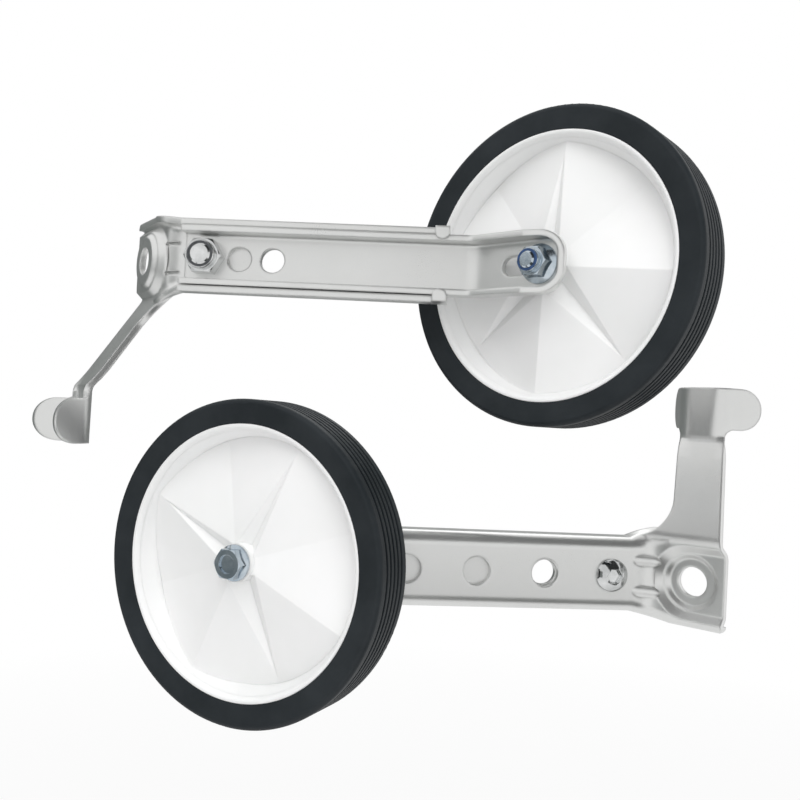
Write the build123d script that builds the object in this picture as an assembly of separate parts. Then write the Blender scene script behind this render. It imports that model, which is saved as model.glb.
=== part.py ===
from build123d import *
from math import asin, cos, radians, sin, tan
import os

# A pair of bolt-on training wheels for a child's bicycle, millimetres.
# The left unit sets the frame: the seat round its axle hole is at the origin, its outer side
# faces -Y, its arm runs towards -X and its hook towards +Z. The right unit is its mirror
# image, laid head to tail above it.

# Bracket sheet and axle plate
bracket_sheet = 2.4
axle_hole = 10.8
axle_to_bend = 15.6
axle_to_end = 12.5
plate_width = 33.0
plate_shoulder = 9.9
plate_lip = 5.6
plate_end_round = 2.0
dish_depth = 2.8
dish_floor_radius = 10.6
dish_wall_angle = 42.0
seat_depth = 1.6
seat_radius = 8.4
seat_wall_angle = 45.0

# Bracket channel, which leaves the axle plate at the splay angle
splay_angle = 51.0
channel_width = 27.6
channel_depth = 10.4
channel_length = 106.5
sheet_bend = 2.2
channel_flare = 5.4
plate_flare = 8.0
bend_set_in = 0.9
clamp_to_bend = 14.0
bracket_holes = 4
bracket_hole = 10.0
bracket_pitch = 25.6
dart_radius = 2.4
dart_length = 16.0
dart_spread = 11.4
dart_slit = 1.2
dart_slit_length = 7.0

# Guide tabs folded over the arm at the channel's lower end
tab_length = 5.4
tab_sheet = 1.8
tab_grip = 4.6
tab_round = 2.4
tab_clearance = 0.3

# Hook that reaches inwards to the chainstay, and the saddle at its end
hook_width = 18.2
hook_tilt = 36.0
hook_lean = 16.5
hook_root = 14.6
hook_root_shift = 2.0
hook_root_wall = 4.4
hook_bow = 45.0
hook_knee = 52.2
root_bend = 8.0
knee_bend = 4.0
hook_root_fillet = 11.0
hook_edge_fillet = 5.0
saddle_start = 56.2
saddle_length = 16.4
saddle_base = 16.0
saddle_splay = 32.0
saddle_depth = 15.6
saddle_bend = 6.0
saddle_tip = 0.2
saddle_fillet = 3.0

# Arm, a pressed tray that nests in the channel
arm_sheet = 2.2
arm_fit = 0.3
arm_depth = 9.2
arm_corner = 1.0
arm_top = 5.8
arm_holes = 3
arm_hole = 9.2
arm_pitch = bracket_pitch / 2
arm_bend_at = 117.3
arm_bend_angle = 35.0
arm_bend_radius = 14.0
axle_from_arm_bend = 27.8
flange_clearance = 0.4
arm_end_corner = 8.5
arm_end_rim = 4.4
arm_slope_length = 14.0
slot_width = 7.0
slot_travel = 12.0

# Clamp screw and lock nut that hold the arm in the channel
clamp_shank = 8.0
clamp_head = 12.0
clamp_head_height = 4.2
clamp_socket = 5.0
clamp_socket_depth = 2.4
clamp_nut_flats = 12.6
clamp_nut_hex = 6.0
clamp_nut_collar = 10.8
clamp_nut_collar_height = 2.6
clamp_head_rim = 0.84
clamp_tip = 0.6

# Wheel axle: flanged screw, sleeve and flanged lock nut
axle_shank = 6.0
axle_flange = 14.2
axle_flange_height = 1.4
axle_head_flats = 10.0
axle_head_flange = 12.8
axle_head_height = 4.6
axle_head_recess = 6.4
axle_recess_depth = 0.7
axle_nut_hex = 6.4
axle_nut_collar = 8.2
axle_nut_collar_height = 2.4
axle_tip = 0.8
sleeve_diameter = 9.0
sleeve_fit = 0.1
run_fit = 0.08
end_play = 0.3
slide_gap = 0.05
insert_wall = 0.9
insert_height = 1.8
insert_fit = 0.03
collar_round = 0.8
screw_chamfer = 0.6
hex_chamfer = 30.0

# Wheel: moulded hub and rubber tyre
wheel_diameter = 115.0
hub_length = 19.6
boss_radius = 8.6
tyre_height = 8.8
lip_half_width = 8.6
lip_width = 2.0
lip_wall = 2.6
lip_hollow = 0.8
seat_drop = 2.2
disc_top = 8.0
disc_edge = 5.2
disc_floor = 4.0
band_width = 2.6
disc_sides = 8
rib_steps = (0, 2, 4, 5)
rib_radius = 6.6
rib_depth = 4.9
rib_start = 1.2
rib_tip = 0.2
left_rib_turn = 59.0
right_rib_turn = 131.0
tyre_fit = 0.05
tyre_half_width = 9.6
tyre_widest = 0.78
shoulder_swell = 0.3
tread_half_width = 8.0
tread_grooves = 5
groove_width = 1.2
groove_depth = 0.7

# Place of the right unit's axle seat, and its turn about the vertical
right_place = (-175.7, -123.8, 110.7)
right_turn = -12.8

# Lengths of cutters: past every face, and through a sheet only
through = 200.0
sheet_cut = 10.0


def tilted(origin, angle):
    # A face whose outward side leans from -Y towards +X, with x up the arm and y along the hook.
    a = radians(angle)
    return Plane(origin=origin, x_dir=(cos(a), sin(a), 0), z_dir=(sin(a), -cos(a), 0))


def shifted(face, distance, height=0.0):
    # The same face, a distance down the arm and a height outwards.
    return Plane(origin=face.from_local_coords((-distance, 0, height)), x_dir=face.x_dir, z_dir=face.z_dir)


def across(face, distance):
    # The plane square to a face at a distance down the arm: x is across it, y is outwards.
    place = face.from_local_coords((-distance, 0, 0))
    return Plane(origin=place, x_dir=-face.y_dir, z_dir=-face.x_dir)


camber = splay_angle - arm_bend_angle
plate_face = tilted((0, 0, 0), 0)
bend_face = tilted((-axle_to_bend, 0, 0), splay_angle / 2)
channel_face = tilted((-axle_to_bend, 0, 0), splay_angle)
arm_face = shifted(channel_face, 0, -bracket_sheet)
arm_end_face = tilted(arm_face.from_local_coords((-arm_bend_at, 0, 0)), camber)
axle_face = shifted(arm_end_face, axle_from_arm_bend)
clamp_face = shifted(channel_face, clamp_to_bend)
seat_floor = dish_depth + seat_depth
wheel_middle = slide_gap + end_play + hub_length / 2
arm_width = channel_width - 2 * bracket_sheet - 2 * arm_fit
sleeve_length = hub_length + 2 * end_play
arm_end_margin = axle_flange / 2 + flange_clearance + arm_corner + arm_sheet
plate_flat = hook_root - (root_bend + bracket_sheet) * tan(radians(hook_tilt / 2))
hook_foot = plate_shoulder / 2
hook_reach = (hook_knee - hook_root) * tan(radians(hook_tilt))
knee_tangent = knee_bend * tan(radians(hook_tilt / 2))
knee_top = hook_knee + knee_tangent
saddle_round = saddle_bend + bracket_sheet
saddle_flat = saddle_base / 2 - saddle_round * tan(radians(90 - saddle_splay) / 2)
saddle_turn = asin((hook_width / 2 - saddle_flat) / saddle_round)
lip_radius = wheel_diameter / 2 - tyre_height
disc_radius = lip_radius - lip_wall - band_width


def tray_section(width, sheet, corner, left_wall, right_wall):
    # A web along y = 0 with a wall down on each side and rounded bends.
    half = width / 2
    inside = half - sheet
    outline = Polyline(
        (-half, -left_wall), (-half, 0), (half, 0), (half, -right_wall), (inside, -right_wall),
        (inside, -sheet), (-inside, -sheet), (-inside, -left_wall), close=True)
    face = make_face(outline)
    face = fillet([v for v in face.vertices() if abs(v.Y) < 1e-6], corner + sheet)
    inner = [v for v in face.vertices() if abs(v.Y + sheet) < 1e-6 and abs(abs(v.X) - inside) < 1e-6]
    return fillet(inner, corner)


def channel_section():
    return tray_section(channel_width, bracket_sheet, sheet_bend, channel_depth, channel_depth)


def flare_section(share):
    # Between the channel, share 0, and the axle plate, share 1, where one wall has opened out to the hook.
    angle = radians(90 + share * (hook_tilt - 90))
    left = channel_width / 2 + share * (hook_root - channel_width / 2)
    right = (channel_width + share * (plate_width - channel_width)) / 2
    left_wall = channel_depth + share * (hook_root_wall - channel_depth)
    right_wall = channel_depth + share * (plate_lip - channel_depth)
    left_bend = sheet_bend + share * (root_bend - sheet_bend)
    tip = (-left - left_wall * cos(angle), -left_wall * sin(angle))
    inner_tip = (tip[0] + bracket_sheet * sin(angle), tip[1] - bracket_sheet * cos(angle))
    inner_left = (bracket_sheet * tan(angle / 2) - left, -bracket_sheet)
    inner_right = (right - bracket_sheet, -bracket_sheet)
    face = make_face(Polyline(
        tip, (-left, 0), (right, 0), (right, -right_wall), (inner_right[0], -right_wall),
        inner_right, inner_left, inner_tip, close=True))
    for corner, radius in (
            ((-left, 0), left_bend + bracket_sheet), (inner_left, left_bend),
            ((right, 0), sheet_bend + bracket_sheet), (inner_right, sheet_bend)):
        face = fillet(face.vertices().sort_by_distance(Vector(*corner))[0], radius)
    return face


def flare():
    # The bend from channel to axle plate, where one wall runs out into a lip and the other into the hook.
    sections = [
        across(channel_face, channel_flare) * flare_section(0),
        across(shifted(bend_face, 0, bend_set_in), 0) * flare_section(1 / 2),
        across(plate_face, axle_to_bend - plate_flare) * flare_section(1)]
    return loft(sections)


def dish(radius, mouth, floor):
    # A tapered basin round the axle hole that runs out through the plate's end.
    widening = (floor - mouth) / tan(radians(dish_wall_angle))
    run = axle_to_end + plate_width
    rings = []
    for depth, half in ((mouth, radius + widening), (floor, radius)):
        outline = Circle(half) + Pos(run / 2, 0) * Rectangle(run, 2 * half)
        rings.append(shifted(plate_face, 0, -depth) * outline)
    return loft(rings, ruled=True)


def seat(sheet):
    # The sunk ring round the axle hole, or with a sheet's thickness the swelling behind it.
    radius = seat_radius + sheet * tan(radians(seat_wall_angle / 2))
    widening = seat_depth / tan(radians(seat_wall_angle))
    cone = Cone(radius, radius + widening, seat_depth, align=(Align.CENTER, Align.CENTER, Align.MIN))
    return shifted(plate_face, 0, -seat_floor - sheet) * cone


def darts():
    # Gusset ribs on the hollow side of the bend, along the line that cuts its corner.
    ribs = Part()
    plate_side = shifted(plate_face, 0, -bracket_sheet / 2) * Pos(0, 0, through / 2)
    channel_side = shifted(channel_face, 0, -bracket_sheet / 2) * Pos(0, 0, through / 2)
    for side in (-1, 1):
        rib = bend_face * Pos(0, side * dart_spread / 2, 0) * Rotation(0, 90, 0) * Cylinder(
            dart_radius, dart_length)
        for half_space in (plate_side, channel_side):
            rib &= half_space * Box(through, through, through)
        ribs += rib
    return ribs


def dart_slits():
    # The narrow dents that raise the ribs, seen on the inner side.
    slits = Part()
    top = dart_radius - bracket_sheet
    for side in (-1, 1):
        slits += bend_face * Pos(0, side * dart_spread / 2, top - sheet_cut / 2) * Box(
            dart_slit_length, dart_slit, sheet_cut)
    return slits


def guide_tabs():
    tabs = Part()
    tab_top = bracket_sheet + arm_depth + tab_clearance + tab_sheet
    wall_height = tab_top - channel_depth / 2
    half = channel_width / 2
    middle = shifted(channel_face, channel_length - tab_length / 2, -tab_top)
    for side in (-1, 1):
        wall = Pos(0, side * (half - bracket_sheet / 2), wall_height / 2) * Box(
            tab_length, bracket_sheet, wall_height)
        finger = Pos(0, side * (half - tab_grip / 2), tab_sheet / 2) * Box(
            tab_length, tab_grip, tab_sheet)
        tab = wall + finger
        tip = [e for e in tab.edges().filter_by(Axis.Z) if abs(e.center().Y) < half - tab_grip + 1e-6]
        tab = fillet(tip, tab_round)
        tabs += middle * tab
    return tabs


def lean(height):
    # Where the hook's middle line is along X at a height.
    return hook_root_shift - (height - hook_root) * tan(radians(hook_lean))


def face_outline():
    # The axle plate and the hook's root seen from outside, with the fillet to the channel's upper wall.
    half = hook_width / 2
    reach = axle_to_bend + hook_root_fillet
    start = axle_to_bend - plate_flare
    wall = bracket_sheet / 2
    floor = -plate_width / 2
    shoulder = plate_width / 2
    outline = make_face(Polyline(
        (-start, floor), (axle_to_end, floor), (axle_to_end, plate_shoulder),
        (lean(hook_root) + half, hook_root), (lean(hook_bow) + half, hook_bow),
        (lean(hook_bow) - half, hook_bow), (lean(shoulder) - half, shoulder),
        (-reach, channel_width / 2), (-reach, channel_width / 2 - wall), (-start, hook_root), close=True))
    for corner, radius in (
            ((axle_to_end, floor), plate_end_round), ((axle_to_end, plate_shoulder), hook_edge_fillet),
            ((lean(hook_root) + half, hook_root), hook_edge_fillet),
            ((lean(shoulder) - half, shoulder), hook_root_fillet)):
        place = Vector(*corner)
        outline = fillet(outline.vertices().sort_by_distance(place)[0], radius)
    return extrude(Plane.XZ * outline, through, both=True)


def axle_plate():
    # The flat round the axle hole with its lower lip; on the other side the hook goes on from it.
    start = across(plate_face, axle_to_bend - plate_flare)
    section = flare_section(1) & Pos(through / 2 - plate_flat, 0) * Rectangle(through, through)
    return extrude(start * section, plate_flare - axle_to_bend - axle_to_end)


def hook_strip():
    # The hook's root seen from the side, where it bends inwards.
    tilt = radians(hook_tilt)
    inset = bracket_sheet * tan(tilt / 2)
    reach = (hook_bow - hook_root) * tan(tilt)
    outer = FilletPolyline(
        (0, hook_foot), (0, hook_root), (reach, hook_bow), radius=root_bend + bracket_sheet)
    inner = FilletPolyline(
        (bracket_sheet, hook_foot), (bracket_sheet, hook_root - inset),
        (reach + bracket_sheet / cos(tilt), hook_bow), radius=root_bend)
    side = make_face([outer, inner, Line(outer @ 0, inner @ 0), Line(outer @ 1, inner @ 1)])
    return extrude(Plane.YZ * side, through / 2, both=True)


def bowed_edge(turn, depth):
    # Three points from the flat middle of the hook's section to its turned-up edge.
    radius = (hook_width / 2 - saddle_flat) / sin(turn)
    points = []
    for angle in (0, turn / 2, turn):
        points.append((saddle_flat + (radius - depth) * sin(angle), radius - (radius - depth) * cos(angle)))
    return points


def hook_section(height, reach, sheet):
    # A level cut through the hook, flat at its root and turned up along its edges towards the saddle.
    half = hook_width / 2
    turn = saddle_turn * ((height - hook_bow) / (knee_top - hook_bow)) ** 2
    if turn:
        edges = []
        ends = []
        for depth in (0, sheet):
            right = bowed_edge(turn, depth)
            left = [(-x, y) for x, y in right]
            edges += [ThreePointArc(*left), Line(left[0], right[0]), ThreePointArc(*right)]
            ends.append((left[2], right[2]))
        edges += [Line(ends[0][0], ends[1][0]), Line(ends[0][1], ends[1][1])]
        face = make_face(edges)
    else:
        face = make_face(Polyline(
            (-half, 0), (-saddle_flat, 0), (saddle_flat, 0), (half, 0), (half, sheet),
            (saddle_flat, sheet), (-saddle_flat, sheet), (-half, sheet), close=True))
    return Pos(lean(min(height, knee_top)), reach, height) * face


def hook_neck():
    # The hook from its root to the knee, and on along the saddle's back.
    tilt = radians(hook_tilt)
    set_back = knee_bend * (1 / cos(tilt / 2) - 1)
    middle = (hook_bow + hook_knee) / 2
    slope_sheet = bracket_sheet / cos(tilt)
    back = hook_section(knee_top, hook_reach, bracket_sheet)
    sections = [
        hook_section(hook_bow, (hook_bow - hook_root) * tan(tilt), slope_sheet),
        hook_section(middle, (middle - hook_root) * tan(tilt), slope_sheet),
        hook_section(
            hook_knee - knee_tangent * cos(tilt), hook_reach - knee_tangent * sin(tilt), slope_sheet),
        hook_section(
            hook_knee + set_back * sin(tilt / 2), hook_reach - set_back * cos(tilt / 2),
            bracket_sheet / cos(tilt / 2)),
        back]
    return loft(sections, ruled=True) + extrude(back, saddle_start + saddle_length - knee_top)


def saddle():
    # A splayed trough along the hook, with rounded tab ends, that beds on the chainstay.
    splay = radians(saddle_splay)
    half = saddle_base / 2
    inset = bracket_sheet * tan(radians(90 - saddle_splay) / 2)
    spread = half + saddle_depth * tan(splay)
    end_x = spread - bracket_sheet * cos(splay)
    end_y = saddle_depth + bracket_sheet * sin(splay)
    outer = FilletPolyline(
        (-spread, saddle_depth), (-half, 0), (half, 0), (spread, saddle_depth), radius=saddle_round)
    inner = FilletPolyline(
        (-end_x, end_y), (inset - half, bracket_sheet), (half - inset, bracket_sheet), (end_x, end_y),
        radius=saddle_bend)
    face = make_face([outer, inner, Line(outer @ 0, inner @ 0), Line(outer @ 1, inner @ 1)])
    low = saddle_start - saddle_fillet - saddle_tip
    top = saddle_start + saddle_length
    edge = saddle_round * (1 - cos(saddle_turn))
    window = make_face(Polyline(
        (-bracket_sheet, low), (edge, low), (edge, saddle_start), (saddle_depth, saddle_start),
        (saddle_depth, top), (-bracket_sheet, top), close=True))
    far = window.vertices().group_by(Axis.X)[-1]
    window = fillet(far, saddle_length / 2 - saddle_tip)
    neck = window.vertices().sort_by_distance(Vector(edge, saddle_start))[0]
    window = fillet(neck, saddle_fillet)
    trough = Pos(lean(knee_top), 0, low) * extrude(face, top - low)
    return Pos(0, hook_reach, 0) * (trough & extrude(Plane.YZ * window, through, both=True))


def bracket():
    channel_start = across(channel_face, channel_flare)
    channel = extrude(channel_start * channel_section(), channel_length - channel_flare)
    outline = face_outline()
    body = channel + flare() + (axle_plate() & outline)
    body += hook_strip() & outline
    body += hook_neck() + saddle()
    body += guide_tabs()
    body += darts()
    wall_inset = bracket_sheet * tan(radians(dish_wall_angle / 2))
    swell = dish(dish_floor_radius + wall_inset, bracket_sheet, dish_depth + bracket_sheet)
    flare_side = Pos(plate_flare - axle_to_bend - through / 2, 0, 0) * Box(through, through, through)
    body += swell & (outline + flare_side)
    body += seat(bracket_sheet)
    body -= dish(dish_floor_radius, 0, dish_depth)
    body -= seat(0)
    body -= dart_slits()
    body -= plate_face * Cylinder(axle_hole / 2, through)
    for step in range(bracket_holes):
        place = shifted(channel_face, clamp_to_bend + step * bracket_pitch)
        body -= place * Cylinder(bracket_hole / 2, sheet_cut)
    return body


def arm_section():
    return tray_section(arm_width, arm_sheet, arm_corner, arm_depth, arm_depth)


def arm_tip(start):
    # The tray's closed end: its wall follows the rounded outline.
    finish = axle_from_arm_bend + arm_end_margin
    length = finish - start
    shell = Pos(-start - length / 2, 0) * Rectangle(length, arm_width)
    shell = fillet(shell.vertices().group_by(Axis.X)[0], arm_end_corner)
    block = extrude(shell, -arm_depth)
    block = fillet(rim_edges(block, 0, -start), arm_corner + arm_sheet)
    hollow = Pos(-start - (length - arm_sheet) / 2, 0, -arm_sheet) * Rectangle(
        length - arm_sheet, arm_width - 2 * arm_sheet)
    hollow = fillet(hollow.vertices().group_by(Axis.X)[0], arm_end_corner - arm_sheet)
    cavity = extrude(hollow, -arm_depth)
    cavity = fillet(rim_edges(cavity, -arm_sheet, -start), arm_corner)
    slope = make_face(Polyline(
        (-finish + arm_slope_length, -arm_depth), (-finish, -arm_end_rim),
        (-finish - arm_sheet, -arm_end_rim), (-finish - arm_sheet, -2 * arm_depth),
        (-finish + arm_slope_length, -2 * arm_depth), close=True))
    return block - cavity - extrude(Plane.XZ * slope, arm_width, both=True)


def rim_edges(block, height, open_x):
    # The edges round a block's top face, apart from the one at its open end.
    level = [e for e in block.edges() if abs(e.center().Z - height) < 1e-6]
    return [e for e in level if abs(e.center().X - open_x) > 1e-6]


def arm():
    tangent = arm_bend_radius * tan(radians(arm_bend_angle / 2))
    join = tangent + arm_sheet
    path = FilletPolyline(
        arm_face.from_local_coords((-arm_top, 0, 0)), arm_end_face.origin,
        arm_end_face.from_local_coords((-join, 0, 0)), radius=arm_bend_radius)
    body = sweep(across(arm_face, arm_top) * arm_section(), path=path)
    body += arm_end_face * arm_tip(join)
    for step in range(arm_holes):
        place = shifted(arm_face, clamp_to_bend + step * arm_pitch)
        body -= place * Cylinder(arm_hole / 2, sheet_cut)
    slot = shifted(arm_end_face, axle_from_arm_bend - slot_travel / 2, -sheet_cut / 2)
    body -= slot * extrude(SlotCenterToCenter(slot_travel, slot_width), sheet_cut)
    return body


def cylinder_up(radius, height):
    return Cylinder(radius, height, align=(Align.CENTER, Align.CENTER, Align.MIN))


def hex_block(flats, height):
    # A hexagon whose far corners are turned off.
    prism = extrude(RegularPolygon(flats / 2, 6, major_radius=False), height)
    turned = Cone(
        flats / 2 + height / tan(radians(hex_chamfer)), flats / 2, height,
        align=(Align.CENTER, Align.CENTER, Align.MIN))
    return prism & turned


def flange_base(diameter, flats, height):
    # A thin skirt that rises in a cone to the hexagon.
    skirt = cylinder_up(diameter / 2, height / 2)
    rise = (diameter - flats) / 2 * tan(radians(hex_chamfer))
    cone = Cone(diameter / 2, flats / 2, rise, align=(Align.CENTER, Align.CENTER, Align.MIN))
    return skirt + Pos(0, 0, height / 2) * cone


def shank(diameter, length):
    # A screw's shank hangs down from its head, with a chamfered tip.
    bar = Cylinder(diameter / 2, length, align=(Align.CENTER, Align.CENTER, Align.MAX))
    return chamfer(bar.edges().group_by(Axis.Z)[0], screw_chamfer)


def lock_nut(flats, hex_height, collar, collar_height, thread, flange=0.0, flange_height=0.0):
    # A hexagon with a rolled collar that holds the locking ring.
    body = hex_block(flats, hex_height)
    if flange:
        body += flange_base(flange, flats, flange_height)
    ring = cylinder_up(collar / 2, hex_height + collar_height)
    body += fillet(ring.edges().group_by(Axis.Z)[-1], collar_round)
    top = hex_height + collar_height
    body -= Pos(0, 0, top - insert_height) * cylinder_up(thread / 2 + insert_wall, insert_height)
    return body - cylinder_up(thread / 2 + insert_fit, top)


def lock_ring(hex_height, collar_height, thread):
    ring = cylinder_up(thread / 2 + insert_wall - insert_fit, insert_height - insert_fit)
    ring -= cylinder_up(thread / 2 + insert_fit, insert_height)
    return Pos(0, 0, hex_height + collar_height - insert_height) * ring


def clamp_screw():
    dome = clamp_head_height - clamp_head_rim
    ball = ((clamp_head / 2) ** 2 + dome ** 2) / (2 * dome)
    head = cylinder_up(clamp_head / 2, clamp_head_height)
    head &= Pos(0, 0, clamp_head_height - ball) * Sphere(ball)
    socket = extrude(RegularPolygon(clamp_socket / 2, 6, major_radius=False), clamp_socket_depth)
    head -= Pos(0, 0, clamp_head_height - clamp_socket_depth) * socket
    grip = bracket_sheet + arm_sheet
    return head + shank(clamp_shank, grip + clamp_nut_hex + clamp_nut_collar_height + clamp_tip)


def axle_screw():
    head = hex_block(axle_head_flats, axle_head_height)
    head += flange_base(axle_head_flange, axle_head_flats, axle_flange_height)
    recess = cylinder_up(axle_head_recess / 2, axle_recess_depth)
    head -= Pos(0, 0, axle_head_height - axle_recess_depth) * recess
    grip = sleeve_length + arm_sheet + 2 * slide_gap
    return head + shank(axle_shank, grip + axle_nut_hex + axle_nut_collar_height + axle_tip)


def axle_sleeve():
    tube = cylinder_up(sleeve_diameter / 2, sleeve_length)
    return tube - cylinder_up(axle_shank / 2 + sleeve_fit, sleeve_length)


def disc_height(radius):
    # The height of the disc's creases above the wheel's middle plane.
    return disc_top - (disc_top - disc_edge) * (radius - boss_radius) / (disc_radius - boss_radius)


def hub_face(turn, hand):
    # One face of the hub: a shallow eight-sided cone, with tapered ribs on some of its creases.
    crest = lip_radius - lip_wall
    outer = lip_radius / cos(radians(180 / disc_sides))
    rings = []
    for radius in (outer, boss_radius):
        ring = Rotation(0, 0, turn) * RegularPolygon(radius, disc_sides)
        rings.append(Pos(0, 0, disc_height(radius)) * ring)
    face = loft(rings, ruled=True)
    face &= cylinder_up(crest, hub_length)
    face += cylinder_up(boss_radius, hub_length / 2)
    step = 360 / disc_sides
    inner = boss_radius - rib_start
    for index in rib_steps:
        foot = Vector(inner, 0, disc_height(inner) - rib_depth)
        tip = Vector(disc_radius, 0, disc_height(disc_radius))
        along = Plane(origin=foot, z_dir=tip - foot)
        rib = Cone(rib_radius, rib_tip, (tip - foot).length, align=(Align.CENTER, Align.CENTER, Align.MIN))
        rib = along * rib
        face += Rotation(0, 0, turn + hand * index * step) * rib
    return face


def hub(turn, hand):
    # The rim's section, turned about the axle; its lips hold the tyre.
    seat = lip_radius - seat_drop
    groove = lip_half_width - lip_width
    crest = lip_radius - lip_wall
    lip = Polyline(
        (0, 0), (seat, 0), (seat, groove), (lip_radius, groove), (lip_radius, lip_half_width),
        (crest, lip_half_width))
    band = SagittaArc((crest, lip_half_width), (disc_radius, disc_floor), lip_hollow)
    core = Polyline((disc_radius, disc_floor), (0, disc_floor), (0, 0))
    rim = revolve(Plane.XZ * make_face([lip, band, core]), Axis.Z)
    face = rim + hub_face(turn, hand)
    body = face + mirror(face, about=Plane.XY)
    return body - Cylinder(sleeve_diameter / 2 + run_fit, 2 * hub_length)


def tyre():
    # A solid rubber section with a foot between the rim's lips and a grooved tread.
    foot = lip_radius - seat_drop + tyre_fit
    waist = lip_half_width - lip_width - tyre_fit
    over_lip = lip_radius + tyre_fit
    crown = wheel_diameter / 2
    widest = over_lip + (crown - over_lip) * tyre_widest
    shoulder = (widest + 2 * crown) / 3
    shoulder_half = (2 * tyre_half_width + tread_half_width) / 3 + shoulder_swell
    tread = [(crown, tread_half_width)]
    spacing = 2 * tread_half_width / (tread_grooves + 1)
    for index in range(tread_grooves):
        middle = tread_half_width - (index + 1) * spacing
        tread += [(crown, middle + groove_width / 2), (crown - groove_depth, middle + groove_width / 2)]
        tread += [(crown - groove_depth, middle - groove_width / 2), (crown, middle - groove_width / 2)]
    tread += [(crown, -tread_half_width)]
    edges = [Polyline(*tread)]
    for side in (1, -1):
        edges += [Polyline(
            (foot, 0), (foot, side * waist), (over_lip, side * waist),
            (over_lip, side * lip_half_width), (widest, side * tyre_half_width))]
        edges += [ThreePointArc(
            (widest, side * tyre_half_width), (shoulder, side * shoulder_half),
            (crown, side * tread_half_width))]
    return revolve(Plane.XZ * make_face(edges), Axis.Z)


def unit(turn, hand):
    # One unit's pieces, with the outer face of the axle plate at y = 0.
    inward = Rotation(180, 0, 0)
    clamp_nut_place = shifted(clamp_face, 0, -bracket_sheet - arm_sheet).location * inward
    axle_nut_place = shifted(axle_face, 0, -arm_sheet - slide_gap).location * inward
    wheel_place = shifted(axle_face, 0, wheel_middle)
    return {
        "bracket": bracket(),
        "arm": arm(),
        "clamp_screw": clamp_face * clamp_screw(),
        "clamp_nut": clamp_nut_place * lock_nut(
            clamp_nut_flats, clamp_nut_hex, clamp_nut_collar, clamp_nut_collar_height, clamp_shank),
        "clamp_nut_ring": clamp_nut_place * lock_ring(clamp_nut_hex, clamp_nut_collar_height, clamp_shank),
        "axle_screw": shifted(axle_face, 0, slide_gap + sleeve_length) * axle_screw(),
        "axle_sleeve": shifted(axle_face, 0, slide_gap) * axle_sleeve(),
        "axle_nut": axle_nut_place * lock_nut(
            axle_head_flats, axle_nut_hex, axle_nut_collar, axle_nut_collar_height, axle_shank,
            axle_flange, axle_flange_height),
        "axle_nut_ring": axle_nut_place * lock_ring(axle_nut_hex, axle_nut_collar_height, axle_shank),
        "hub": wheel_place * hub(turn, hand),
        "tyre": wheel_place * tyre(),
    }


def left_handed(solid):
    # Moved so that the seat round the axle hole is at the origin.
    return Pos(0, -seat_floor, 0) * solid


def right_handed(solid):
    # The mirror image, turned head to tail and laid above the left unit.
    turned = Rotation(0, 180, 0) * mirror(left_handed(solid), about=Plane.XZ)
    return Pos(*right_place) * Rotation(0, 0, right_turn) * turned


os.makedirs("parts", exist_ok=True)
for name, solid in unit(left_rib_turn, 1).items():
    export_step(left_handed(solid), f"parts/left_{name}.step")
for name, solid in unit(right_rib_turn, -1).items():
    export_step(right_handed(solid), f"parts/right_{name}.step")
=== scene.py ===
import bpy
import math
from mathutils import Matrix, Vector


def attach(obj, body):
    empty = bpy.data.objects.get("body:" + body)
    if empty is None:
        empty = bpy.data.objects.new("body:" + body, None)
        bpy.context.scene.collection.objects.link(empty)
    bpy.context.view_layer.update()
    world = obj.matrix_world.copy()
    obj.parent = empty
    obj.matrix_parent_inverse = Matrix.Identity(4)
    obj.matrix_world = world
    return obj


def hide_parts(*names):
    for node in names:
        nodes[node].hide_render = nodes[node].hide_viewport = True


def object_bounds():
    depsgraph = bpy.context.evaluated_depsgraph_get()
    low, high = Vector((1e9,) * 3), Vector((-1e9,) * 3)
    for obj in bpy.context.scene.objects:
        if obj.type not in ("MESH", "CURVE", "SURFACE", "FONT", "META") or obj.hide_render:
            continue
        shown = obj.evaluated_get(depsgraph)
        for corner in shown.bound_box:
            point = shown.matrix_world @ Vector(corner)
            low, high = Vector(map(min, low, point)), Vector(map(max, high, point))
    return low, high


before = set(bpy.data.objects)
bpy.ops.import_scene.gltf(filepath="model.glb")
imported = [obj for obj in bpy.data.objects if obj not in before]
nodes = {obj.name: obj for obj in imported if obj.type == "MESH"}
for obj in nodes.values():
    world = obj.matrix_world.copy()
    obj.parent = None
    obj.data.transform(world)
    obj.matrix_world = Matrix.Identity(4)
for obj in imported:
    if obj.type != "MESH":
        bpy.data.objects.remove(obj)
cadBox = [list(corner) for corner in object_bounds()]
sides = ("left", "right")
print("frame loaded:", len(nodes), "nodes")

# the camera stands where the photograph was taken from
cameraPlan = {
    "place": (0.1306, -0.3062, 0.0519),  # metres from the left axle seat
    "azimuth": 42.44,
    "elevation": -1.54,
    "roll": 3.2,
    "focalPixels": 856.5,
    "imagePixels": 800,
    "sensor": 36.0,  # mm
    "nearest": 0.01,
}

# soft lamps above and to the right of the camera, and a weak one behind
lampPlan = {
    "aim": (-0.09, -0.07, 0.05),
    "lamps": {
        "top": {"place": (0.05, -0.55, 1.10), "size": 1.2, "watts": 8.5, "mirrored": False},
        "side": {"place": (0.95, -0.70, 0.50), "size": 1.0, "watts": 5.0, "mirrored": False},
        "back": {"place": (-0.55, 0.80, 0.75), "size": 0.7, "watts": 2.0, "mirrored": True},
    },
}

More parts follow.
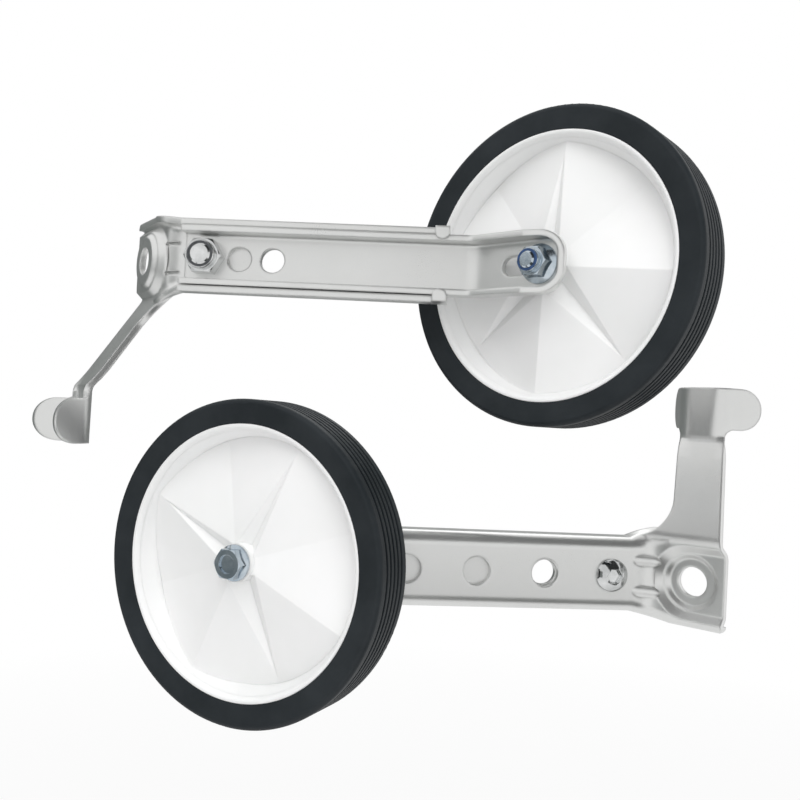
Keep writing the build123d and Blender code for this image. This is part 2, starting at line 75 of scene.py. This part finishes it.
roomPlan = {
    "drop": 0.30,  # floor below the lowest point, metres
    "reach": 60.0,
    "floorColour": (0.90, 0.90, 0.90, 1),
    "floorLift": 0.80,  # share of plain white that the camera sees on the floor near the object
    "floorFade": (0.45, 1.30),  # from and to here, metres out, the floor goes over to plain white
    "skyLight": 0.50,
    "skyColour": (1.0, 1.0, 1.0, 1),
    "plainWhite": 1.0,
    "cards": {  # seen in reflections only
        "left": {"place": (-1.05, -0.10, -0.05), "size": 1.3, "colour": (0.13, 0.145, 0.14, 1)},
        "front": {"place": (-0.48, -0.98, -0.05), "size": 0.75, "colour": (0.28, 0.295, 0.29, 1)},
        "over": {"place": (0.52, -0.24, 0.86), "size": 1.35, "colour": (0.05, 0.052, 0.052, 1)},
        "rear": {"place": (-0.64, 0.88, 0.10), "size": 1.4, "colour": (0.18, 0.19, 0.185, 1)},
        "under": {"place": (0.25, -0.15, -0.30), "size": 0.45, "colour": (0.10, 0.105, 0.10, 1)},
    },
}

# what the finishes share
finishPlan = {
    "softSamples": 6,
    "roughSpan": (0.3, 0.7),  # the part of a noise's range that is spread over a roughness
}


class Wire:
    # a socket that takes Python arithmetic: each operator adds one Math node
    def __init__(self, finish, socket):
        self.finish = finish
        self.socket = socket

    def maths(self, operation, *values):
        return self.finish.add("ShaderNodeMath", {"operation": operation}, dict(enumerate(values)))

    def __add__(self, other):
        return self.maths("ADD", self, other)

    def __radd__(self, other):
        return self.maths("ADD", other, self)

    def __sub__(self, other):
        return self.maths("SUBTRACT", self, other)

    def __rsub__(self, other):
        return self.maths("SUBTRACT", other, self)

    def __mul__(self, other):
        return self.maths("MULTIPLY", self, other)

    def __rmul__(self, other):
        return self.maths("MULTIPLY", other, self)


class Finish:
    # a material, or the world, whose nodes are added from Python
    def __init__(self, owner):
        owner.use_nodes = True
        self.owner = owner
        self.tree = owner.node_tree
        self.tree.nodes.clear()

    def add(self, kind, settings, sockets, out=0):
        node = self.tree.nodes.new(kind)
        for key, value in settings.items():
            setattr(node, key, value)
        for key, value in sockets.items():
            if isinstance(value, Wire):
                self.tree.links.new(value.socket, node.inputs[key])
            else:
                node.inputs[key].default_value = value
        return Wire(self, node.outputs[out]) if node.outputs else node

    def noise(self, where, scale, detail, rough=0.5):
        sockets = {"Vector": where, "Scale": scale, "Detail": detail, "Roughness": rough}
        return self.add("ShaderNodeTexNoise", {}, sockets)

    def remap(self, value, low, high, start, end):
        sockets = {"Value": value, "From Min": low, "From Max": high, "To Min": start, "To Max": end}
        return self.add("ShaderNodeMapRange", {}, sockets)

    def blend(self, value, span, first, second):
        # goes from the first colour to the second while the value crosses the span
        factor = self.remap(value, *span, 0.0, 1.0)
        return self.add("ShaderNodeMix", {"data_type": "RGBA"}, {0: factor, 6: first, 7: second}, out=2)

    def roughness(self, value, limits):
        return self.remap(value, *finishPlan["roughSpan"], *limits)

    def objectPlace(self):
        return self.add("ShaderNodeTexCoord", {}, {}, out="Object")

    def softNormal(self, radius):
        return self.add("ShaderNodeBevel", {"samples": finishPlan["softSamples"]}, {"Radius": radius})

    def edge(self, soft):
        # how far a softened normal turns from the plain one: 0 on flats, more along edges
        plain = self.add("ShaderNodeNewGeometry", {}, {}, out="Normal")
        return 1.0 - self.add("ShaderNodeVectorMath", {"operation": "DOT_PRODUCT"}, {0: soft, 1: plain}, out="Value")

    def seenPlainly(self):
        # 1 for what the camera, a reflection or a clear material looks at
        rays = [self.add("ShaderNodeLightPath", {}, {}, out="Is " + ray + " Ray")
                for ray in ("Camera", "Glossy", "Transmission")]
        return rays[0].maths("MAXIMUM", rays[0], rays[1].maths("MAXIMUM", rays[1], rays[2]))

    def bump(self, height, distance, strength, normal):
        sockets = {"Height": height, "Distance": distance, "Strength": strength, "Normal": normal}
        return self.add("ShaderNodeBump", {}, sockets)

    def glow(self, colour, kind="ShaderNodeEmission", strength=roomPlan["plainWhite"]):
        return self.add(kind, {}, {"Color": colour, "Strength": strength})

    def surface(self, sockets):
        self.shown(self.add("ShaderNodeBsdfPrincipled", {}, sockets))
        return self.owner

    def shown(self, shader, kind="ShaderNodeOutputMaterial"):
        self.add(kind, {}, {"Surface": shader})


def newFinish(name):
    return Finish(bpy.data.materials.new(name))


paintPlan = {
    "tone": (0.69, 0.695, 0.685, 1),
    "paleTone": (0.75, 0.755, 0.745, 1),
    # lighter tone along edges and bends: partly a painted highlight, partly wear of the paint
    "edgeHighlightAndWearTone": (0.80, 0.80, 0.79, 1),
    "metal": 0.85,
    "cloudScale": 38.0,
    "cloudDetail": 3.0,
    "flakeScale": 4200.0,
    "flakeDetail": 1.0,
    "mottle": (0.7, 0.3),  # shares of cloud and flake in the colour
    "toneSpan": (0.35, 0.65),
    "peelScale": 420.0,
    "peelDetail": 2.0,
    "peelDepth": 0.00002,  # metres
    "peelStrength": 0.6,
    "edgeRound": 0.0012,
    "edgeHighlightAndWearSpan": (0.16, 0.60),  # turn of the normal where the painted edge highlight and paint wear start, and where they are full
    "highlightAndWearBase": 0.4,  # added to the cloud that breaks up the painted edge highlight and paint wear
    "roughShare": 0.5,
    "roughness": (0.27, 0.36),
    "coat": 0.10,
    "coatRoughness": 0.25,
}


def silverPaint():
    plan = paintPlan
    f = newFinish("silverPaint")
    place = f.objectPlace()
    flake = f.noise(place, plan["flakeScale"], plan["flakeDetail"])
    cloud = f.noise(place, plan["cloudScale"], plan["cloudDetail"])
    peel = f.noise(place, plan["peelScale"], plan["peelDetail"])
    soft = f.softNormal(plan["edgeRound"])
    mottle = cloud * plan["mottle"][0] + flake * plan["mottle"][1]
    paint = f.blend(mottle, plan["toneSpan"], plan["tone"], plan["paleTone"])
    # edges and bends are painted lighter here: a painted highlight along them, with some paint wear, broken up by
    # the cloud
    wear = f.edge(soft) * (cloud + plan["highlightAndWearBase"])
    return f.surface({
        "Base Color": f.blend(wear, plan["edgeHighlightAndWearSpan"], paint, plan["edgeHighlightAndWearTone"]),
        "Metallic": plan["metal"],
        "Roughness": f.roughness(cloud * plan["roughShare"] + flake * plan["roughShare"], plan["roughness"]),
        "Normal": f.bump(peel, plan["peelDepth"], plan["peelStrength"], soft),
        "Coat Weight": plan["coat"],
        "Coat Roughness": plan["coatRoughness"]})


zincPlan = {
    "bright": ((0.50, 0.51, 0.51, 1), (0.70, 0.71, 0.71, 1)),
    "blue": ((0.36, 0.43, 0.49, 1), (0.56, 0.62, 0.67, 1)),
    "cloudScale": 160.0,
    "cloudDetail": 3.0,
    "toneSpan": (0.35, 0.65),
    "grainScale": 2600.0,
    "grainDetail": 2.0,
    "grainDepth": 0.00001,
    "grainStrength": 0.35,
    "edgeRound": 0.00025,
    "roughShare": 0.5,
    "roughness": (0.08, 0.18),
}


def zincPlate(name):
    plan = zincPlan
    f = newFinish(name + "Zinc")
    place = f.objectPlace()
    cloud = f.noise(place, plan["cloudScale"], plan["cloudDetail"])
    grain = f.noise(place, plan["grainScale"], plan["grainDetail"])
    soft = f.softNormal(plan["edgeRound"])
    return f.surface({
        "Base Color": f.blend(cloud, plan["toneSpan"], *plan[name]),
        "Metallic": 1.0,
        "Roughness": f.roughness(grain * plan["roughShare"] + cloud * plan["roughShare"], plan["roughness"]),
        "Normal": f.bump(grain, plan["grainDepth"], plan["grainStrength"], soft)})


nylonPlan = {
    "blue": (0.020, 0.052, 0.135, 1),
    "dark": (0.045, 0.048, 0.052, 1),
    "worn": 1.7,  # how much lighter the scuffs are
    "scuffScale": 900.0,
    "scuffDetail": 3.0,
    "toneSpan": (0.4, 0.7),
    "scuffDepth": 0.00003,
    "scuffStrength": 0.4,
    "edgeRound": 0.0002,
    "roughness": (0.38, 0.52),
}


def lockingNylon(name):
    plan = nylonPlan
    f = newFinish(name + "Nylon")
    tone = plan[name]
    worn = tuple(part * plan["worn"] for part in tone[:3]) + (1,)
    scuff = f.noise(f.objectPlace(), plan["scuffScale"], plan["scuffDetail"])
    soft = f.softNormal(plan["edgeRound"])
    return f.surface({
        "Base Color": f.blend(scuff, plan["toneSpan"], tone, worn),
        "Roughness": f.roughness(scuff, plan["roughness"]),
        "Normal": f.bump(scuff, plan["scuffDepth"], plan["scuffStrength"], soft)})


hubPlan = {
    "tone": (0.90, 0.905, 0.90, 1),
    "paleTone": (0.94, 0.94, 0.94, 1),
    "flowScale": 30.0,
    "flowDetail": 3.0,
    "toneSpan": (0.35, 0.65),
    "grainScale": 1500.0,
    "grainDetail": 2.0,
    "grainDepth": 0.00004,
    "grainStrength": 0.4,
    "shares": (0.6, 0.4),  # of flow and grain
    "crease": 0.0008,  # rounding of the moulded creases, metres
    "roughness": (0.32, 0.44),
    "glow": 0.10,
    "glowRadius": (1.0, 0.95, 0.9),
    "glowDepth": 0.002,
}


def hubPlastic():
    plan = hubPlan
    f = newFinish("hubPlastic")
    place = f.objectPlace()
    flow = f.noise(place, plan["flowScale"], plan["flowDetail"])
    grain = f.noise(place, plan["grainScale"], plan["grainDetail"])
    both = flow * plan["shares"][0] + grain * plan["shares"][1]
    soft = f.softNormal(plan["crease"])
    return f.surface({
        "Base Color": f.blend(flow, plan["toneSpan"], plan["tone"], plan["paleTone"]),
        "Roughness": f.roughness(both, plan["roughness"]),
        "Normal": f.bump(both, plan["grainDepth"], plan["grainStrength"], soft),
        "Subsurface Weight": plan["glow"],
        "Subsurface Radius": plan["glowRadius"],
        "Subsurface Scale": plan["glowDepth"]})


tyrePlan = {
    "tone": (0.012, 0.016, 0.019, 1),
    "dusty": (0.023, 0.028, 0.032, 1),
    "cloudScale": 45.0,
    "cloudDetail": 4.0,
    "cloudRough": 0.6,
    "toneSpan": (0.35, 0.7),
    "grainScale": 2200.0,
    "grainDetail": 2.0,
    "grainDepth": 0.00003,
    "grainStrength": 0.4,
    "shares": (0.6, 0.4),  # of cloud and grain in the roughness
    "edgeRound": 0.0005,
    "roughness": (0.44, 0.60),
    "gloss": 0.25,
}


def tyreRubber():
    plan = tyrePlan
    f = newFinish("tyreRubber")
    place = f.objectPlace()
    cloud = f.noise(place, plan["cloudScale"], plan["cloudDetail"], plan["cloudRough"])
    grain = f.noise(place, plan["grainScale"], plan["grainDetail"])
    both = cloud * plan["shares"][0] + grain * plan["shares"][1]
    soft = f.softNormal(plan["edgeRound"])
    return f.surface({
        "Base Color": f.blend(cloud, plan["toneSpan"], plan["tone"], plan["dusty"]),
        "Roughness": f.roughness(both, plan["roughness"]),
        "Normal": f.bump(grain, plan["grainDepth"], plan["grainStrength"], soft),
        "Specular IOR Level": plan["gloss"]})


# the moulded hub, in metres: a rim with two lips, and a folded web with tapered grooves on both sides
hubShape = {
    "rimSteps": 144,
    "rimHalf": (
        (0.0442, 0.0008), (0.0446, 0.0020), (0.0452, 0.0036), (0.0460, 0.0056), (0.0468, 0.0075),
        (0.0474, 0.0084), (0.0480, 0.0086), (0.0487, 0.0086), (0.0487, 0.0066), (0.0465, 0.0066)),
    "rimWeld": 0.00001,
    "rimRound": 0.00028,
    "rimRoundSteps": 4,
    "rimRoundAbove": 8,  # degrees
    "creases": 8,
    "creaseNear": 0.1,  # how far from a crease, in shares of two of them, a point still counts as on it
    "webFoot": 0.0492,  # radius where the creases would end
    "webEdge": 0.0456,  # radius inside the rim
    "webHalf": 0.0008,
    "webFold": 0.0034,  # the creases lie this much higher and lower by turns
    "webTop": 0.0092,
    "barSteps": 96,
    "bossRadius": 0.0068,
    "bossHalf": 0.0098,
    "boreRadius": 0.00458,
    "sliver": 0.00002,  # faces thinner than this are cleaned away after the cuts
    "smoothBelow": 7.5,  # degrees
    "grooves": (0, 2, 5),  # the creases that are pressed in
    "grooveFrom": 0.0062,
    "grooveTo": 0.0420,
    "grooveDepth": 0.0040,
    "grooveHalf": 0.0052,
    "grooveOver": 0.0020,
    "places": {
        "left": {"middle": (-0.11521, -0.111468, 0.0), "outward": (0.275637, -0.961262, 0.0), "turn": 63.5},
        "right": {"middle": (-0.038658, -0.040626, 0.1107), "outward": (-0.055822, 0.998441, 0.0), "turn": 230.0},
    },
}


def chosen(piece):
    bpy.ops.object.select_all(action="DESELECT")
    piece.select_set(True)
    bpy.context.view_layer.objects.active = piece


def applied(piece, kind, settings):
    change = piece.modifiers.new(kind.lower(), kind)
    for key, value in settings.items():
        setattr(change, key, value)
    chosen(piece)
    bpy.ops.object.modifier_apply(modifier=change.name)


def joined(piece, tool, operation):
    applied(piece, "BOOLEAN", {"operation": operation, "object": tool, "solver": "EXACT"})
    bpy.data.objects.remove(tool)


def turnedAlong(level, along):
    # the turn that takes Y to the level direction and Z to the other one
    return Matrix((level.cross(along), level, along)).transposed().to_4x4()


def turnedRim():
    # a ring drawn out along the rim's section and closed on itself
    half = hubShape["rimHalf"]
    section = half + tuple((radius, -height) for radius, height in reversed(half))
    bpy.ops.object.select_all(action="DESELECT")
    bpy.ops.mesh.primitive_circle_add(
        vertices=hubShape["rimSteps"], radius=section[0][0], location=(0, 0, section[0][1]))
    rim = bpy.context.object
    bpy.ops.object.mode_set(mode="EDIT")
    bpy.ops.mesh.select_all(action="SELECT")
    for (radius, height), (nextRadius, nextHeight) in zip(section, section[1:] + section[:1]):
        bpy.ops.mesh.extrude_edges_move(TRANSFORM_OT_translate={"value": (0, 0, nextHeight - height)})
        wider = nextRadius / radius
        bpy.ops.transform.resize(value=(wider, wider, 1), center_override=(0, 0, nextHeight))
    bpy.ops.mesh.select_all(action="SELECT")
    bpy.ops.mesh.remove_doubles(threshold=hubShape["rimWeld"])
    bpy.ops.mesh.normals_make_consistent(inside=False)
    bpy.ops.object.mode_set(mode="OBJECT")
    bpy.ops.object.transform_apply(location=True, rotation=True, scale=True)
    applied(rim, "BEVEL", {
        "width": hubShape["rimRound"], "segments": hubShape["rimRoundSteps"],
        "angle_limit": math.radians(hubShape["rimRoundAbove"])})
    return rim


def pickedPoints(piece, test):
    # selects only the points that pass the test, and stays in edit mode
    bpy.ops.mesh.select_mode(type="VERT")
    bpy.ops.mesh.select_all(action="DESELECT")
    bpy.ops.object.mode_set(mode="OBJECT")
    for point in piece.data.vertices:
        point.select = test(point.co)
    bpy.ops.object.mode_set(mode="EDIT")


def foldedWeb():
    # a cone on an octagon whose corners go up and down by turns, drawn down to the web's thickness
    foot, half, top = hubShape["webFoot"], hubShape["webHalf"], hubShape["webTop"]
    pair = 2 * math.radians(360 / hubShape["creases"])

    def atFoot(co):
        return co.xy.length > foot / 2

    def onCrease(co, start):
        off = (math.atan2(co.y, co.x) / pair - start + 0.5) % 1.0 - 0.5
        return atFoot(co) and abs(off) < hubShape["creaseNear"]

    bpy.ops.object.select_all(action="DESELECT")
    bpy.ops.mesh.primitive_cone_add(
        vertices=hubShape["creases"], radius1=foot, radius2=0.0, depth=top - half, location=(0, 0, (top + half) / 2))
    web = bpy.context.object
    bpy.ops.object.transform_apply(location=True, rotation=True, scale=True)
    bpy.ops.object.mode_set(mode="EDIT")
    for start, fold in ((0.0, hubShape["webFold"]), (0.5, -hubShape["webFold"])):
        pickedPoints(web, lambda co: onCrease(co, start))
        bpy.ops.transform.translate(value=(0, 0, fold))
    pickedPoints(web, atFoot)
    bpy.ops.mesh.select_mode(type="FACE")
    bpy.ops.mesh.extrude_region_move(TRANSFORM_OT_translate={"value": (0, 0, -2 * half)})
    bpy.ops.mesh.poke()
    pickedPoints(web, lambda co: not atFoot(co) and co.z < top / 2)
    bpy.ops.transform.translate(value=(0, 0, -top + half))
    bpy.ops.mesh.select_all(action="SELECT")
    bpy.ops.mesh.normals_make_consistent(inside=False)
    bpy.ops.object.mode_set(mode="OBJECT")
    return web


def pressGroove(web, step, side):
    # cuts one crease with a long four-sided point, on the outer side for 1 and the inner one for -1
    foot, top = hubShape["webFoot"], hubShape["webTop"]
    low = hubShape["webHalf"] + hubShape["webFold"] * side * (-1) ** step
    start, end = hubShape["grooveFrom"], hubShape["grooveTo"]
    depth, over = hubShape["grooveDepth"], hubShape["grooveOver"]
    tall = over + depth
    broad = hubShape["grooveHalf"] * tall / depth
    inner = Vector((start, 0, side * (top + (low - top) * start / foot + over)))
    outer = Vector((end, 0, side * (top + (low - top) * end / foot)))
    tilt = turnedAlong(Vector((0, 1, 0)), (outer - inner).normalized())
    bpy.ops.object.select_all(action="DESELECT")
    bpy.ops.mesh.primitive_cone_add(vertices=4, radius1=1.0, radius2=0.0, depth=(outer - inner).length)
    cutter = bpy.context.object
    turn = Matrix.Rotation(math.radians(step * 360 / hubShape["creases"]), 4, "Z")
    size = Matrix.Diagonal((tall, broad, 1.0, 1.0))
    cutter.matrix_world = turn @ Matrix.Translation((inner + outer) / 2) @ tilt @ size
    bpy.context.view_layer.update()
    joined(web, cutter, "DIFFERENCE")


def plainBar(radius, half):
    bpy.ops.object.select_all(action="DESELECT")
    bpy.ops.mesh.primitive_cylinder_add(vertices=hubShape["barSteps"], radius=radius, depth=2 * half)
    return bpy.context.object


def cleaned(piece):
    # welds and drops what the cuts leave too thin to see, so that the mesh stays closed
    chosen(piece)
    bpy.ops.object.mode_set(mode="EDIT")
    bpy.ops.mesh.select_all(action="SELECT")
    bpy.ops.mesh.remove_doubles(threshold=hubShape["sliver"])
    bpy.ops.mesh.dissolve_degenerate(threshold=hubShape["sliver"])
    bpy.ops.mesh.quads_convert_to_tris(quad_method="BEAUTY", ngon_method="BEAUTY")
    bpy.ops.mesh.select_all(action="SELECT")
    bpy.ops.mesh.dissolve_degenerate(threshold=hubShape["sliver"])
    bpy.ops.object.mode_set(mode="OBJECT")
    bpy.ops.object.shade_smooth_by_angle(angle=math.radians(hubShape["smoothBelow"]))


def mouldedHub():
    hub = turnedRim()
    web = foldedWeb()
    for step in hubShape["grooves"]:
        pressGroove(web, step, 1)
        pressGroove(web, step, -1)
    through = 2 * hubShape["bossHalf"]
    joined(web, plainBar(hubShape["webEdge"], through), "INTERSECT")
    joined(hub, web, "UNION")
    joined(hub, plainBar(hubShape["bossRadius"], hubShape["bossHalf"]), "UNION")
    joined(hub, plainBar(hubShape["boreRadius"], through), "DIFFERENCE")
    cleaned(hub)
    return hub


def placeHubs(finish):
    hub = mouldedHub()
    hub.data.materials.append(finish)
    for side, plan in hubShape["places"].items():
        piece = hub.copy()
        piece.data = hub.data.copy()
        piece.name = side + "MouldedHub"
        bpy.context.scene.collection.objects.link(piece)
        turn = turnedAlong(Vector((0, 0, 1)), Vector(plan["outward"]))
        spin = Matrix.Rotation(math.radians(plan["turn"]), 4, "Z")
        piece.data.transform(Matrix.Translation(plan["middle"]) @ turn @ spin)
        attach(piece, side + "_wheel")
        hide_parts(side + "_hub")
    bpy.data.objects.remove(hub)


def dressNodes():
    silver, bright, blue = silverPaint(), zincPlate("bright"), zincPlate("blue")
    white, black = hubPlastic(), tyreRubber()
    wear = {
        "bracket": silver, "arm": silver, "clamp_screw": bright, "clamp_nut": bright,
        "clamp_nut_ring": lockingNylon("dark"), "axle_screw": blue, "axle_sleeve": bright, "axle_nut": blue,
        "axle_nut_ring": lockingNylon("blue"), "hub": white, "tyre": black}
    for side in sides:
        for piece, finish in wear.items():
            node = nodes[side + "_" + piece]
            node.data.materials.clear()
            node.data.materials.append(finish)
    placeHubs(white)


def turnedTo(back, roll=0.0):
    # the turn of a camera, lamp or card whose back side points along a direction
    right = Vector((0, 0, 1)).cross(back).normalized()
    up = back.cross(right)
    turn = Matrix((right, up, back)).transposed()
    return (turn @ Matrix.Rotation(roll, 3, "Z")).to_4x4()


def facingAim(place):
    away = Vector(place) - Vector(lampPlan["aim"])
    return Matrix.Translation(place) @ turnedTo(away.normalized())


def setCamera():
    a = math.radians(cameraPlan["azimuth"])
    e = math.radians(cameraPlan["elevation"])
    back = Vector((math.sin(a) * math.cos(e), -math.cos(a) * math.cos(e), math.sin(e)))
    data = bpy.data.cameras.new("photoCamera")
    data.sensor_width = cameraPlan["sensor"]
    data.lens = cameraPlan["sensor"] * cameraPlan["focalPixels"] / cameraPlan["imagePixels"]
    data.clip_start = cameraPlan["nearest"]
    camera = bpy.data.objects.new("photoCamera", data)
    bpy.context.scene.collection.objects.link(camera)
    turn = turnedTo(back, math.radians(cameraPlan["roll"]))
    camera.matrix_world = Matrix.Translation(cameraPlan["place"]) @ turn
    bpy.context.scene.camera = camera


def setLamps():
    for name, plan in lampPlan["lamps"].items():
        data = bpy.data.lights.new(name + "Lamp", "AREA")
        data.size = plan["size"]
        data.energy = plan["watts"]
        lamp = bpy.data.objects.new(name + "Lamp", data)
        bpy.context.scene.collection.objects.link(lamp)
        lamp.visible_glossy = plan["mirrored"]
        lamp.matrix_world = facingAim(plan["place"])


def addSheet(name, size, matrix):
    bpy.ops.object.select_all(action="DESELECT")
    bpy.ops.mesh.primitive_plane_add(size=size)
    sheet = bpy.context.object
    sheet.name = name
    sheet.matrix_world = matrix
    return sheet


def setFloor():
    level = (0, 0, cadBox[0][2] - roomPlan["drop"])
    floor = addSheet("floor", roomPlan["reach"], Matrix.Translation(level))
    f = newFinish("paleFloor")
    matt = f.add("ShaderNodeBsdfDiffuse", {}, {"Color": roomPlan["floorColour"]})
    white = f.glow(roomPlan["skyColour"])
    out = f.add("ShaderNodeVectorMath", {"operation": "LENGTH"}, {0: f.objectPlace()}, out="Value")
    lift = f.remap(out, *roomPlan["floorFade"], roomPlan["floorLift"], 1.0)
    f.shown(f.add("ShaderNodeMixShader", {}, {0: f.seenPlainly() * lift, 1: matt, 2: white}))
    floor.data.materials.append(f.owner)


def setSky():
    world = bpy.data.worlds.new("paleRoom")
    bpy.context.scene.world = world
    w = Finish(world)
    light = w.glow(roomPlan["skyColour"], "ShaderNodeBackground", roomPlan["skyLight"])
    plain = w.glow(roomPlan["skyColour"], "ShaderNodeBackground")
    sky = w.add("ShaderNodeMixShader", {}, {0: w.seenPlainly(), 1: light, 2: plain})
    w.shown(sky, "ShaderNodeOutputWorld")


def setCards():
    for name, plan in roomPlan["cards"].items():
        f = newFinish(name + "Card")
        f.shown(f.glow(plan["colour"]))
        card = addSheet(name + "Card", plan["size"], facingAim(plan["place"]))
        card.data.materials.append(f.owner)
        card.visible_camera = False
        card.visible_diffuse = False
        card.visible_transmission = False
        card.visible_shadow = False


bpy.context.scene.view_settings.view_transform = "Standard"
setCamera()
print("camera set")
dressNodes()
print("finishes set")
setLamps()
setFloor()
setSky()
setCards()
print("lamps and room set")
